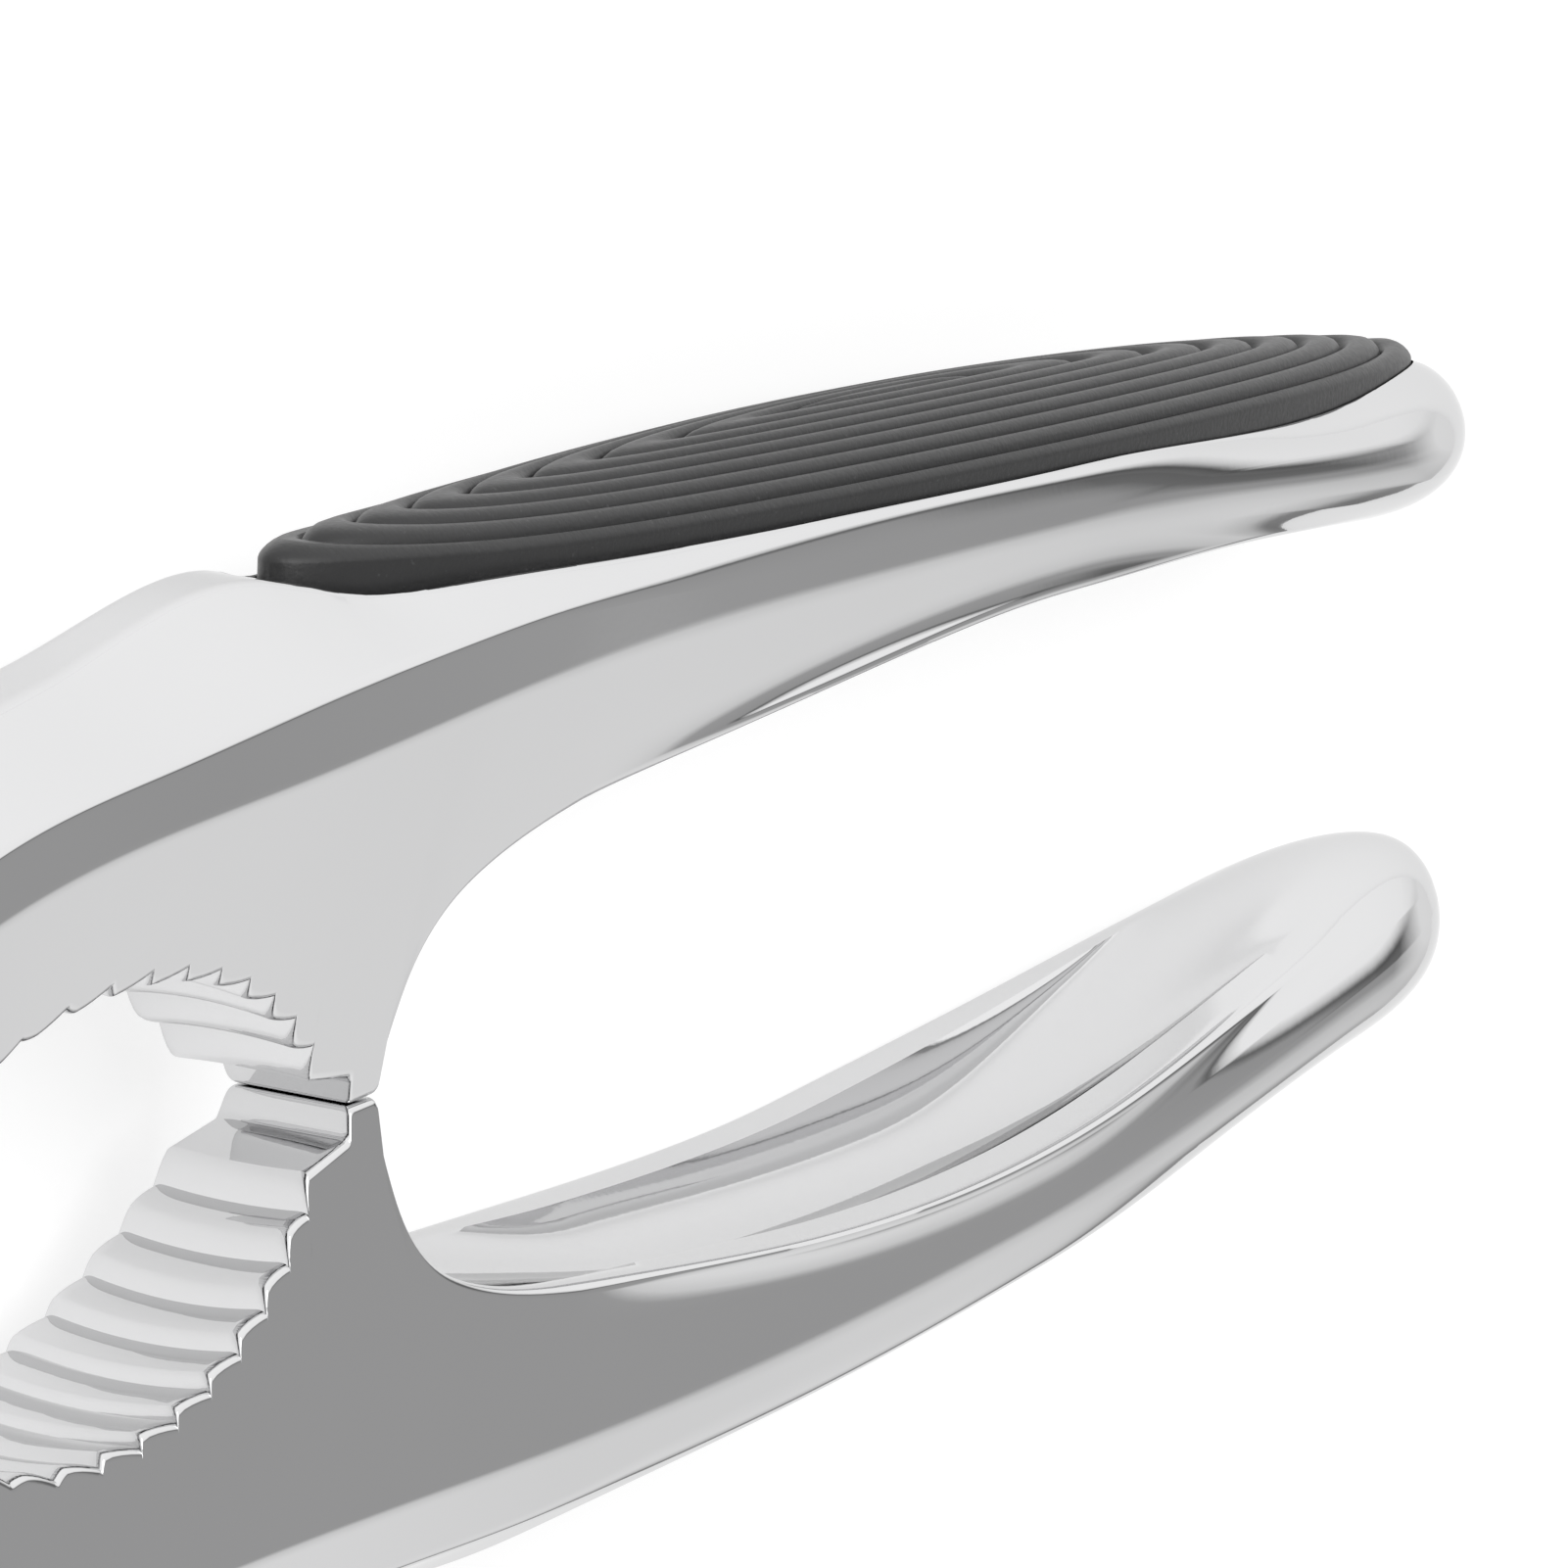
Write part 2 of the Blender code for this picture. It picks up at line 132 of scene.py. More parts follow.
# Grip inlay
GRIP_START = -3.2
GRIP_END = 113.6
GRIP_HALF_WIDTH = 7.4
GRIP_CROWN = 2.7
GRIP_DEPTH = 2.4
LOWER_GRIP_SINK = 1.4
GRIP_ROUNDING = 0.35
GRIP_TIP_POWER = 0.6
POCKET_CLEARANCE = 0.25
POCKET_END_GAP = 3.1
POCKET_STEPS = 90
GROOVE_STOPS = (0.0, 0.2, 0.32, 0.4, 0.46, 0.5, 0.54, 0.6, 0.68, 0.8)
FIRST_CREST = 0.90
GROOVED_SHARE = 0.96
GRIP_EDGE_TOP = [(-6, 27.0), (0, 26.5), (8, 25.7), (16, 25.05), (32, 24.1), (48, 23.2),
                 (64, 22.2), (80, 21.1), (96, 19.9), (115, 18.4)]

# Camera
CAMERA_PLACE = (-0.481725, 0.14573, 0.29396)
CAMERA_RIGHT = (0.50036146, 0.0374435, 0.86500658)
CAMERA_BACK = (-0.84594276, 0.23397074, 0.47920615)
CAMERA_LENS = 269.83
CAMERA_SENSOR = 36.0

# Studio: the paper's own glow, the lamp, and the sky's greys by direction
FLOOR_HALF_SIZE = 6.0
FLOOR_GLOW = 0.68
LAMP_SIZE = 0.8
LAMP_PLACE = (-0.2, 0.5, 0.9)
SKY_ACROSS = [(-1.0, 1.05), (-0.5, 0.95), (-0.36, 0.86), (-0.24, 0.77), (-0.12, 0.42),
              (0.11, 0.38), (0.16, 0.15), (0.2, 0.7), (0.26, 1.1), (1.0, 1.16)]
SKY_HEIGHT = [(-1.0, 1.0), (-0.02, 1.0), (0.005, 0.07), (0.06, 0.1), (0.12, 0.7), (0.22, 1.0),
              (1.0, 1.0)]
SKY_DARKENED = [(-1.0, 0.6), (-0.5, 0.75), (-0.4, 0.1), (-0.06, 0.1), (0.02, 0.9), (0.1, 1.0),
                (0.22, 0.0), (1.0, 0.0)]
SKY_DEEP = [(-1.0, 1.0), (0.852, 1.0), (0.89, 0.42), (1.0, 0.42)]
SKY_AHEAD = [(-1.0, 0.0), (0.93, 0.0), (0.985, 1.0), (1.0, 1.0)]


class NutcrackerSettings(bpy.types.PropertyGroup):
    tooth_pitch: FloatProperty(
        name="Tooth Pitch", description="Distance between tooth crests", default=0.0032,
        min=0.0015, max=0.006, unit="LENGTH")
    tooth_depth: FloatProperty(
        name="Tooth Depth", description="Depth of the tooth roots", default=0.00062,
        min=0.0, max=0.002, unit="LENGTH")
    tooth_roundness: FloatProperty(
        name="Tooth Roundness", description="How softly a crest turns into its flanks",
        default=1.5, min=1.0, max=3.0)
    groove_count: IntProperty(
        name="Grooves", description="Concentric grooves in a grip inlay", default=8,
        min=1, max=12)
    groove_depth: FloatProperty(
        name="Groove Depth", description="Depth of the grooves in the inlay", default=0.00068,
        min=0.0, max=0.001, unit="LENGTH")
    groove_roundness: FloatProperty(
        name="Groove Roundness", description="How narrow a groove is against its pitch",
        default=3.6, min=1.0, max=10.0)
    chrome_colour: FloatVectorProperty(
        name="Chrome", description="Colour of the plated castings", subtype="COLOR", size=3,
        min=0.0, max=1.0, default=(0.73, 0.73, 0.735))
    chrome_roughness: FloatProperty(
        name="Chrome Roughness", description="Blur of the plating's reflections", default=0.04,
        min=0.0, max=1.0, subtype="FACTOR")
    rubber_colour: FloatVectorProperty(
        name="Rubber", description="Colour of the grip inlays", subtype="COLOR", size=3,
        min=0.0, max=1.0, default=(0.011, 0.011, 0.0115))
    steel_colour: FloatVectorProperty(
        name="Steel", description="Colour of the hinge pin", subtype="COLOR", size=3,
        min=0.0, max=1.0, default=(0.62, 0.62, 0.63))
    nylon_colour: FloatVectorProperty(
        name="Nylon", description="Colour of the hinge washers", subtype="COLOR", size=3,
        min=0.0, max=1.0, default=(0.82, 0.81, 0.77))
    floor_colour: FloatVectorProperty(
        name="Floor", description="Colour of the studio floor", subtype="COLOR", size=3,
        min=0.0, max=1.0, default=(0.4, 0.4, 0.4))
    light_power: FloatProperty(
        name="Light Power", description="Power of the soft light overhead", default=4.0,
        min=0.0, unit="POWER")


def spline(points):
    """Height at x of the smooth line through the points, curving evenly at every point."""
    xs = np.array([p[0] for p in points], float)
    ys = np.array([p[1] for p in points], float)
    n = len(xs)
    h = np.diff(xs)
    system = np.eye(n)
    right = np.zeros(n)
    for i in range(1, n - 1):
        system[i, i - 1:i + 2] = h[i - 1], 2 * (h[i - 1] + h[i]), h[i]
        right[i] = 6 * ((ys[i + 1] - ys[i]) / h[i] - (ys[i] - ys[i - 1]) / h[i - 1])
    bend = np.linalg.solve(system, right)

    def at(x):
        x = min(max(x, xs[0]), xs[-1])
        i = min(max(int(np.searchsorted(xs, x)) - 1, 0), n - 2)
        a, b = (xs[i + 1] - x) / h[i], (x - xs[i]) / h[i]
        return float(a * ys[i] + b * ys[i + 1]
                     + ((a**3 - a) * bend[i] + (b**3 - b) * bend[i + 1]) * h[i]**2 / 6)
    return at


outer_line = spline(OUTER)
band_line = spline(BAND)
spine_line = spline(SPINE)
outer_width = spline(OUTER_WIDTH)
band_width = spline(BAND_WIDTH)
spine_width = spline(SPINE_WIDTH)
inner_width = spline(INNER_WIDTH)
grip_edge = spline(GRIP_EDGE_TOP)


def place(x, y, z):
    """Millimetres from the beaks to metres with the origin under the middle."""
    return ((x - CENTRE_X) * MM, y * MM, (z + HALF_THICKNESS) * MM)


def clamp(x):
    """x kept between 0 and 1."""
    return min(1.0, max(0.0, x))


def ease(x):
    """Smooth rise from 0 to 1 while x goes from 0 to 1."""
    x = clamp(x)
    return x * x * (3 - 2 * x)


def ease_over(x, stretch):
    """Smooth rise over a stretch given by its start and its length."""
    start, length = stretch
    return ease((x - start) / length)


def run_lengths(points):
    """Distance walked along the points up to each of them."""
    runs = [0.0]
    for a, b in zip(points, points[1:]):
        runs.append(runs[-1] + math.dist(a, b))
    return runs


def inner_points(side):
    """Inner line of the handle of the upper arm (side 1) or the lower arm (side -1)."""
    return INNER if side > 0 else LOWER_INNER


def crest_height(x):
    """Half height of the nut cavity, measured to the tooth crests."""
    u = min(1.0, abs(x - CAVITY_CENTRE_X) / CAVITY_HALF_LENGTH)
    return CAVITY_HALF_HEIGHT * (1 - u**2.2) ** 0.8


def crest_points(pitch):
    """Tooth crests at equal steps along the cavity wall, from the beak to the hinge."""
    crests = []
    x, y, run = FIRST_CREST_X, crest_height(FIRST_CREST_X), pitch
    end = CAVITY_CENTRE_X - CAVITY_HALF_LENGTH + 1.0
    step = 0.02
    while x > end:
        if run >= pitch:
            crests.append((x, y))
            run = 0.0
        run += math.hypot(step, crest_height(x - step) - y)
        x -= step
        y = crest_height(x)
    return crests


def tooth_form(rise):
    """Where the root lies between two crests and its depth against the plain tooth."""
    if rise > 0:
        return 0.08 + 0.85 * rise**2, 1 + 0.9 * rise**2
    return min(0.5, 0.08 - 1.3 * rise), max(0.2, 1 + 1.4 * rise)


def bend_points(before, corner, after, reach, steps):
    """Points of a soft bend at a corner that starts and ends at a reach from it."""

    def towards(other):
        d = math.dist(corner, other)
        share = min(reach, 0.45 * d) / max(d, 1e-9)
        return [c + (o - c) * share for c, o in zip(corner, other)]

    a, b = towards(before), towards(after)
    made = []
    for k in range(steps + 1):
        t = k / steps
        made.append(tuple((1 - t)**2 * p + 2 * t * (1 - t) * c + t * t * q
                          for p, c, q in zip(a, corner, b)))
    return made


def jaw_path(pitch):
    """Inner edge from the hinge to the beak, each point with its tooth's facts."""
    crests = crest_points(pitch)
    path = [((CAVITY_CENTRE_X - CAVITY_HALF_LENGTH - 0.6, BEAK_GAP / 2), NO_TOOTH)]
    for i in range(len(crests) - 1, 0, -1):
        start, end = crests[i - 1], crests[i]
        dx, dy = end[0] - start[0], end[1] - start[1]
        length = math.hypot(dx, dy)
        share, depth = tooth_form(dy / length)
        normal = (dy / length, -dx / length)
        stops = [share * s for s in FALLING_STOPS]
        stops += [share + (1 - share) * s for s in RISING_STOPS]
        if i == len(crests) - 1:
            stops.append(0.999)
        for f in reversed(stops):
            point = (start[0] + dx * f, start[1] + dy * f)
            path.append((point, (i - 1 + f, share, depth, normal)))
    beak = [crests[0], (-0.43, BEAK_HEIGHT), (0.0, BEAK_GAP / 2), (BEAK_WIDTH, BEAK_GAP / 2),
            CROTCH[1]]
    for before, corner, after, reach in zip(beak, beak[1:], beak[2:], (0.35, 0.3, 0.4)):
        path += [(p, NO_TOOTH) for p in bend_points(before, corner, after, reach, 4)]
    return path


def spread_outer(points, first, last, keep=0.75):
    """Places on the outer line for a run of inner points, never two at the same place."""
    runs = run_lengths(points)
    lows = np.minimum.accumulate([p[0] for p in points][::-1])[::-1]
    low, high = lows[0], lows[-1]
    made = []
    for x, run in zip(lows, runs):
        even = run / runs[-1]
        near = (x - low) / (high - low)
        made.append(first + (last - first) * (keep * near + (1 - keep) * even))
    return made


def handle_path(side):
    """Inner edge from the beak's outer corner to the round end: (point, outer x) pairs."""
    points = CROTCH + inner_points(side)
    runs = run_lengths(points)
    xs = spline([(r, p[0]) for r, p in zip(runs, points)])
    ys = spline([(r, p[1]) for r, p in zip(runs, points)])
    joint = runs[len(CROTCH) - 1]
    made = []
    run = 0.8
    while xs(run) < TIP_X - ROUND_END - 0.3:
        x = xs(run)
        share = run / joint
        even = HANDLE_OUTER_START + (CROTCH[-1][0] - HANDLE_OUTER_START) * share
        blend = ease((share - 0.85) / 0.15)
        outer_x = x * blend + even * (1 - blend)
        made.append(((x, ys(run)), outer_x))
        run += HANDLE_STEP * (0.45 if share < 0.8 else 1.0)
    return made


def half_section(inner, outer_x):
    """Half ring of (way from the inner edge, half width) pairs, its length and outer point."""
    outer = (outer_x, outer_line(outer_x))
    length = math.dist(inner, outer)

    def on_line(line):
        way = 0.5
        for _ in range(6):
            x = inner[0] + (outer[0] - inner[0]) * way
            way = (line(x) - inner[1]) / (outer[1] - inner[1])
        return way * length, x

    in_handle = ease_over(inner[0], HANDLE_STARTS)
    at_end = ease_over(inner[0], SOFTENING)
    band, band_x = on_line(band_line)
    spine, spine_x = on_line(spine_line)
    on_band, on_spine = band_width(band_x), spine_width(spine_x)
    web = on_spine - WEB_TAPER * spine
    if inner[0] > CROTCH[-1][0]:
        lip = inner_width(inner[0])
    else:
        lip = web
    waist_way = min(1.3, 0.4 * spine)
    waist = on_spine - WEB_TAPER * (spine - waist_way)
    waist += (lip - waist) * at_end * 0.5
    edge = outer_width(outer_x)
    softness = (0.45 + 0.5 * in_handle + 1.2 * at_end,
                0.35 + 0.7 * in_handle + 1.5 * at_end,
                0.3 + 0.2 * in_handle + 1.8 * at_end,
                0.9,
                0.45 + 0.55 * in_handle + 0.8 * at_end)
    corners = [(length, 0.0), (length, edge), (band, on_band), (spine, on_spine),
               (waist_way, waist), (0.0, lip), (0.0, 0.0)]
    half = [corners[0], (length, edge * 0.5)]
    for k, soft in enumerate(softness):
        bend = bend_points(corners[k], corners[k + 1], corners[k + 2], soft, CORNER_STEPS)
        half += support(half[-1], bend[0])
        half += bend
    flat = half[-1][1]
    fade = clamp((inner[0] - DISH_FADE_X) / (TIP_X - ROUND_END - DISH_FADE_X))
    dish = (JAW_DISH + (HANDLE_DISH - JAW_DISH) * in_handle) * (1 - 0.85 * fade**2)
    dish *= clamp(0.02 + max(-inner[0] - 2.0, inner[0] - 4.0) / 8.0)
    rim = flat - 0.1 - 0.22 * flat * in_handle
    half.append((0.0, rim))
    for share in DISH_SHARES:
        half.append((dish * (1 - share**2), rim * share))
    return rounded(half, length, ease_over(inner[0], ELLIPSE)), length, outer


def rounded(half, length, amount):
    """Half ring drawn by an amount from its own form to an ellipse as wide and as high."""
    middle = length / 2
    wide = max(z for _, z in half)
    made = []
    for way, z in half:
        out = math.hypot((way - middle) / middle, z / wide)
        share = 1 - amount + amount / out
        made.append((middle + (way - middle) * share, z * share))
    return made


def support(a, b):
    """Points close to both ends of a straight stretch, so that it shades flat."""
    d = math.dist(a, b)
    near = min(0.12, 0.2 * d) / max(d, 1e-9)
    return [tuple(p + (q - p) * s for p, q in zip(a, b)) for s in (near, 1 - near)]


def ring_of(inner, outer_x):
    """Closed ring of points round the arm through an inner point and an outer place."""
    half, length, outer = half_section(inner, outer_x)
    across = [(inner[0] + (outer[0] - inner[0]) * w / length,
               inner[1] + (outer[1] - inner[1]) * w / length, z) for w, z in half]
    return across + [(x, y, -z) for x, y, z in across[-2:0:-1]]


def arm_rings(settings, side):
    """Rings of the casting with the tooth facts of each ring."""
    plain = (*NO_TOOTH, (0.0, 0.0))
    rings, facts = [], []
    for x in HINGE_END_X:
        rings.append(ring_of((x, BEAK_GAP / 2), x * HINGE_SPREAD))
        facts.append(plain)
    jaw = jaw_path(settings.tooth_pitch / MM)
    points = [p for p, _ in jaw]
    outers = spread_outer(points, points[0][0] * HINGE_SPREAD, JAW_OUTER_END)
    for (point, fact), outer_x in zip(jaw, outers):
        rings.append(ring_of(point, outer_x))
        facts.append((*fact, point))
    for point, outer_x in handle_path(side):
        rings.append(ring_of(point, outer_x))
        facts.append(plain)
    inner_line = spline([CROTCH[-1]] + inner_points(side))
    for share in END_SHARES:
        x = TIP_X - ROUND_END * (1 - share)
        inner_y = inner_line(x)
        middle = (inner_y + outer_line(x)) / 2
        high = (1 - share**ROUND_POWER) ** (1 / ROUND_POWER)
        wide = (1 - share**PLAN_POWER) ** (1 / PLAN_POWER)
        rings.append([(x, middle + (y - middle) * high, z * wide)
                      for _, y, z in ring_of((x, inner_y), x)])
        facts.append(plain)
    return rings, facts


def web_half_width(x, y):
    """Half width of the web, which thins evenly from the spine to the inner edge."""
    return spine_width(x) - WEB_TAPER * (spine_line(x) - y)


def tooth_pull(inner, ring):
    """How far each point of a ring follows the teeth: fully at the inner face, less up the web."""
    return [1 - ease((math.dist(inner, (x, y)) - 0.8) / TOOTH_FADE) for x, y, _ in ring]


def remove_old(name):
    """Removes the mesh object that an earlier run of an operator left."""
    old = bpy.data.objects.get(name)
    if old is not None and old.type == "MESH":
        bpy.data.objects.remove(old, do_unlink=True)


def object_from(name, bm):
    """New object in the scene with the mesh that bm holds."""
    remove_old(name)
    mesh = bpy.data.meshes.new(name)
    bm.to_mesh(mesh)
    bm.free()
    obj = bpy.data.objects.new(name, mesh)
    bpy.context.scene.collection.objects.link(obj)
    return obj


def skin(rings, side):
    """Closed skin over a row of rings; side -1 mirrors it to the lower arm."""
    bm = bmesh.new()
    rows = [[bm.verts.new(place(x, side * y, z)) for x, y, z in ring] for ring in rings]
    count = len(rows[0])
    for row, following in zip(rows, rows[1:]):
        for i in range(count):
            j = (i + 1) % count
            bm.faces.new((row[i], following[i], following[j], row[j]))
    for row in (rows[0], rows[-1]):
        hub = bm.verts.new(sum((v.co for v in row), Vector()) / count)
        for i in range(count):
            bm.faces.new((row[i], row[(i + 1) % count], hub))
    bmesh.ops.recalc_face_normals(bm, faces=bm.faces[:])
    return bm


def turned(name, profile, x=HINGE_X, segments=128):
    """Solid turned about the hinge axis from (radius, z) points; a ring if none is on it."""
    bm = bmesh.new()
    rows = []
    for radius, z in profile:
        if radius < 1e-6:
            rows.append([bm.verts.new(place(x, 0.0, z))])
            continue
        rows.append([bm.verts.new(place(x + radius * math.cos(math.tau * k / segments),
                                        radius * math.sin(math.tau * k / segments), z))
                     for k in range(segments)])
    hollow = len(rows[0]) > 1
    for a, b in zip(rows, rows[1:] + rows[:1] if hollow else rows[1:]):
        for k in range(segments):
            j = (k + 1) % segments
            corners = [a[k % len(a)], a[j % len(a)], b[j % len(b)], b[k % len(b)]]
            bm.faces.new(list(dict.fromkeys(corners)))
    bmesh.ops.recalc_face_normals(bm, faces=bm.faces[:])
    return object_from(name, bm)


def combine(obj, operand, operation):
    """Adds an exact Boolean of the object with the operand."""
    mod = obj.modifiers.new(operand.name, "BOOLEAN")
    mod.object = operand
    mod.operation = operation
    mod.solver = "EXACT"


def freeze(obj, helpers=()):
    """Turns the modifiers' result into the object's own mesh and removes the helpers."""
    bpy.context.view_layer.update()
    graph = bpy.context.evaluated_depsgraph_get()
    mesh = bpy.data.meshes.new_from_object(obj.evaluated_get(graph),
                                           preserve_all_data_layers=True, depsgraph=graph)
    obj.modifiers.clear()
    obj.data = mesh
    for helper in helpers:
        bpy.data.objects.remove(helper, do_unlink=True)
    if not mesh.polygons:
        raise RuntimeError(f"{obj.name} came out empty")


def finish_shading(obj, material, angle=32):
    """Gives the object its material and smooth faces that meet sharply past the angle."""
    obj.data.materials.clear()
    obj.data.materials.append(material)
    obj.data.shade_smooth()
    obj.data.set_sharp_from_angle(angle=math.radians(angle))


def ridges_tree():
    """Node group that pushes a surface in between crests, for teeth and for grooves."""
    name = "Crest Ridges"
    old = bpy.data.node_groups.get(name)
    if old is not None:
        return old
    tree = bpy.data.node_groups.new(name, "GeometryNodeTree")
    face = tree.interface
    face.new_socket("Geometry", in_out="INPUT", socket_type="NodeSocketGeometry")
    face.new_socket("Depth", in_out="INPUT", socket_type="NodeSocketFloat")
    face.new_socket("Roundness", in_out="INPUT", socket_type="NodeSocketFloat")
    face.new_socket("Material", in_out="INPUT", socket_type="NodeSocketMaterial")
    face.new_socket("Geometry", in_out="OUTPUT", socket_type="NodeSocketGeometry")
    nodes, links = tree.nodes, tree.links

    def attribute(label, kind):
        node = nodes.new("GeometryNodeInputNamedAttribute")
        node.data_type = kind
        node.inputs["Name"].default_value = label
        return next(s for s in node.outputs if s.enabled)

    def maths(operation, a, b=None):
        node = nodes.new("ShaderNodeMath")
        node.operation = operation
        for socket, value in zip(node.inputs, (a, b)):
            if value is None:
                continue
            if isinstance(value, (int, float)):
                socket.default_value = value
            else:
                links.new(value, socket)
        return node.outputs[0]

    group_in = nodes.new("NodeGroupInput")
    group_out = nodes.new("NodeGroupOutput")
    phase = attribute("ridge_phase", "FLOAT")
    share = attribute("ridge_share", "FLOAT")
    depth = attribute("ridge_depth", "FLOAT")
    way = attribute("ridge_way", "FLOAT_VECTOR")
    part = maths("FRACT", phase)
    falling = maths("DIVIDE", part, share)
    rising = maths("DIVIDE", maths("SUBTRACT", 1.0, part), maths("SUBTRACT", 1.0, share))
    shape = maths("POWER", maths("MINIMUM", falling, rising), group_in.outputs["Roundness"])
    amount = maths("MULTIPLY", maths("MULTIPLY", shape, depth), group_in.outputs["Depth"])
    push = nodes.new("ShaderNodeVectorMath")
    push.operation = "SCALE"
    links.new(way, push.inputs[0])
    links.new(amount, push.inputs["Scale"])
    move = nodes.new("GeometryNodeSetPosition")
    realize = nodes.new("GeometryNodeRealizeInstances")
    paint = nodes.new("GeometryNodeSetMaterial")
    links.new(group_in.outputs["Geometry"], move.inputs["Geometry"])
    links.new(push.outputs["Vector"], move.inputs["Offset"])
    links.new(move.outputs["Geometry"], realize.inputs["Geometry"])
    links.new(realize.outputs["Geometry"], paint.inputs["Geometry"])
    links.new(group_in.outputs["Material"], paint.inputs["Material"])
    links.new(paint.outputs["Geometry"], group_out.inputs["Geometry"])
    return tree


def add_ridges(obj, depth, roundness, material):
    """Puts the ridge nodes on the object with their inputs set."""
    tree = ridges_tree()
    mod = obj.modifiers.new("ridges", "NODES")
    mod.node_group = tree
    values = {"Depth": depth, "Roundness": roundness, "Material": material}
    for item in tree.interface.items_tree:
        if item.in_out == "INPUT" and item.name in values:
            mod[item.identifier] = values[item.name]


def store(obj, phase, share, depth, way):
    """Writes the facts that the ridge nodes read on every point."""
    mesh = obj.data
    for label, values in (("ridge_phase", phase), ("ridge_share", share), ("ridge_depth", depth)):
        layer = mesh.attributes.new(label, "FLOAT", "POINT")
        layer.data.foreach_set("value", values)
    layer = mesh.attributes.new("ridge_way", "FLOAT_VECTOR", "POINT")
    layer.data.foreach_set("vector", [c for v in way for c in v])


def drop_facts(obj):
    """Removes the facts once the ridges are in the mesh."""
    for label in ("ridge_phase", "ridge_share", "ridge_depth", "ridge_way"):
        layer = obj.data.attributes.get(label)
        if layer is not None:
            obj.data.attributes.remove(layer)


def knuckle(name, side, low, high):
    """Round knuckle with soft edges and a neck that reaches into the arm."""
    start, end = math.radians(6), math.radians(88)

    def outline(inset):
        neck = KNUCKLE_RADIUS + 5.0 - inset
        radius = KNUCKLE_RADIUS - inset
        made = [(neck * math.cos(start + (end - start) * k / 24),
                 neck * math.sin(start + (end - start) * k / 24)) for k in range(25)]
        sweep = math.tau + start - end
        turns = [end + sweep * k / 120 for k in range(1, 120)]
        made += [(radius * math.cos(a), radius * math.sin(a)) for a in turns]
        return made

    levels = []
    for k in range(5):
        a = math.pi / 2 * k / 4
        levels.append((KNUCKLE_ROUNDING * (1 - math.cos(a)),
                       KNUCKLE_ROUNDING * (1 - math.sin(a))))
    rings = [[(HINGE_X + x, y, low + rise) for x, y in outline(inset)]
             for rise, inset in levels]
    rings += [[(HINGE_X + x, y, high - rise) for x, y in outline(inset)]
              for rise, inset in reversed(levels)]
    return object_from(name, skin(rings, side))


def grip_half_width(x, grow=0.0, early=0.0):
    """Half width of the leaf-shaped inlay; grow and early enlarge it for its seat."""
    start, end = GRIP_START - early, GRIP_END + grow
    share = clamp((x - start) / (end - start))
    return (GRIP_HALF_WIDTH + grow) * math.sqrt(max(0.0, math.sin(math.pi * share)))


def pocket_floor(x):
    """Height of the floor that the inlay lies on."""
    return grip_edge(x) - GRIP_DEPTH


def pocket(name, side):
    """Cutter for the inlay's seat, flared where it meets the outer face."""
    start, end = GRIP_START - POCKET_END_GAP, GRIP_END + POCKET_CLEARANCE
    middle, reach = (start + end) / 2, (end - start) / 2
    rings = []
    for k in range(POCKET_STEPS + 1):
        a = 0.04 + (math.pi - 0.08) * k / POCKET_STEPS
        x = middle - reach * math.cos(a)
        half = grip_half_width(x, POCKET_CLEARANCE, POCKET_END_GAP)
        low = pocket_floor(x)
        mouth = max(outer_line(x) - 0.22, low + 0.3)
        side_points = [(low, half), (mouth, half), (mouth + 0.6, half + 0.45),
                       (mouth + 6.0, half + 0.5)]
        ring = [(x, y, z) for y, z in side_points]
        rings.append(ring + [(x, y, -z) for y, z in reversed(side_points)])
    return object_from(name, skin(rings, side))


def build_arm(settings, name, side, body, node):
    """Cast arm: lofted body with teeth, knuckle, bore and the inlay's seat."""
    material = chrome_material(settings)
    rings, facts = arm_rings(settings, side)
    arm = object_from(name, skin(rings, side))
    phase, share, depth, way = [], [], [], []
    for (at, root, deep, normal, inner), ring in zip(facts, rings):
        slope = spine_line(inner[0] + 0.5) - spine_line(inner[0] - 0.5)
        widen = WEB_TAPER * (normal[1] - slope * normal[0])
        lip = web_half_width(*inner)
        for (_, _, z), pull in zip(ring, tooth_pull(inner, ring)):
            phase.append(at)
            share.append(root)
            depth.append(deep * pull)
            way.append((normal[0], side * normal[1], widen * max(-1.0, min(1.0, z / lip))))
    for _ in range(2):
        phase.append(0.0)
        share.append(0.5)
        depth.append(0.0)
        way.append((0.0, 0.0, 0.0))
    store(arm, phase, share, depth, way)
    add_ridges(arm, settings.tooth_depth, settings.tooth_roundness, material)
    reach = HALF_THICKNESS + 1.0
    helpers = []

    def use(helper, operation="DIFFERENCE"):
        combine(arm, helper, operation)
        helpers.append(helper)

    radius = KNUCKLE_RADIUS + KNUCKLE_CLEARANCE
    use(turned(f"{name}_clear", [(0, -reach), (radius, -reach), (radius, reach), (0, reach)]))
    if side > 0:
        spans = [(-TONGUE_HALF, TONGUE_HALF)]
    else:
        spans = [(EAR_INNER, HALF_THICKNESS), (-HALF_THICKNESS, -EAR_INNER)]
    for i, (low, high) in enumerate(spans):
        use(knuckle(f"{name}_knuckle_{i}", side, low, high), "UNION")
    bore = PIN_RADIUS + PIN_CLEARANCE
    use(turned(f"{name}_bore", [(0, -reach), (bore, -reach), (bore, reach), (0, reach)]))
    use(pocket(f"{name}_pocket", side))
    freeze(arm, helpers)
    drop_facts(arm)
    finish_shading(arm, material)
    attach(arm, body)
    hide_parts(node)
    return arm


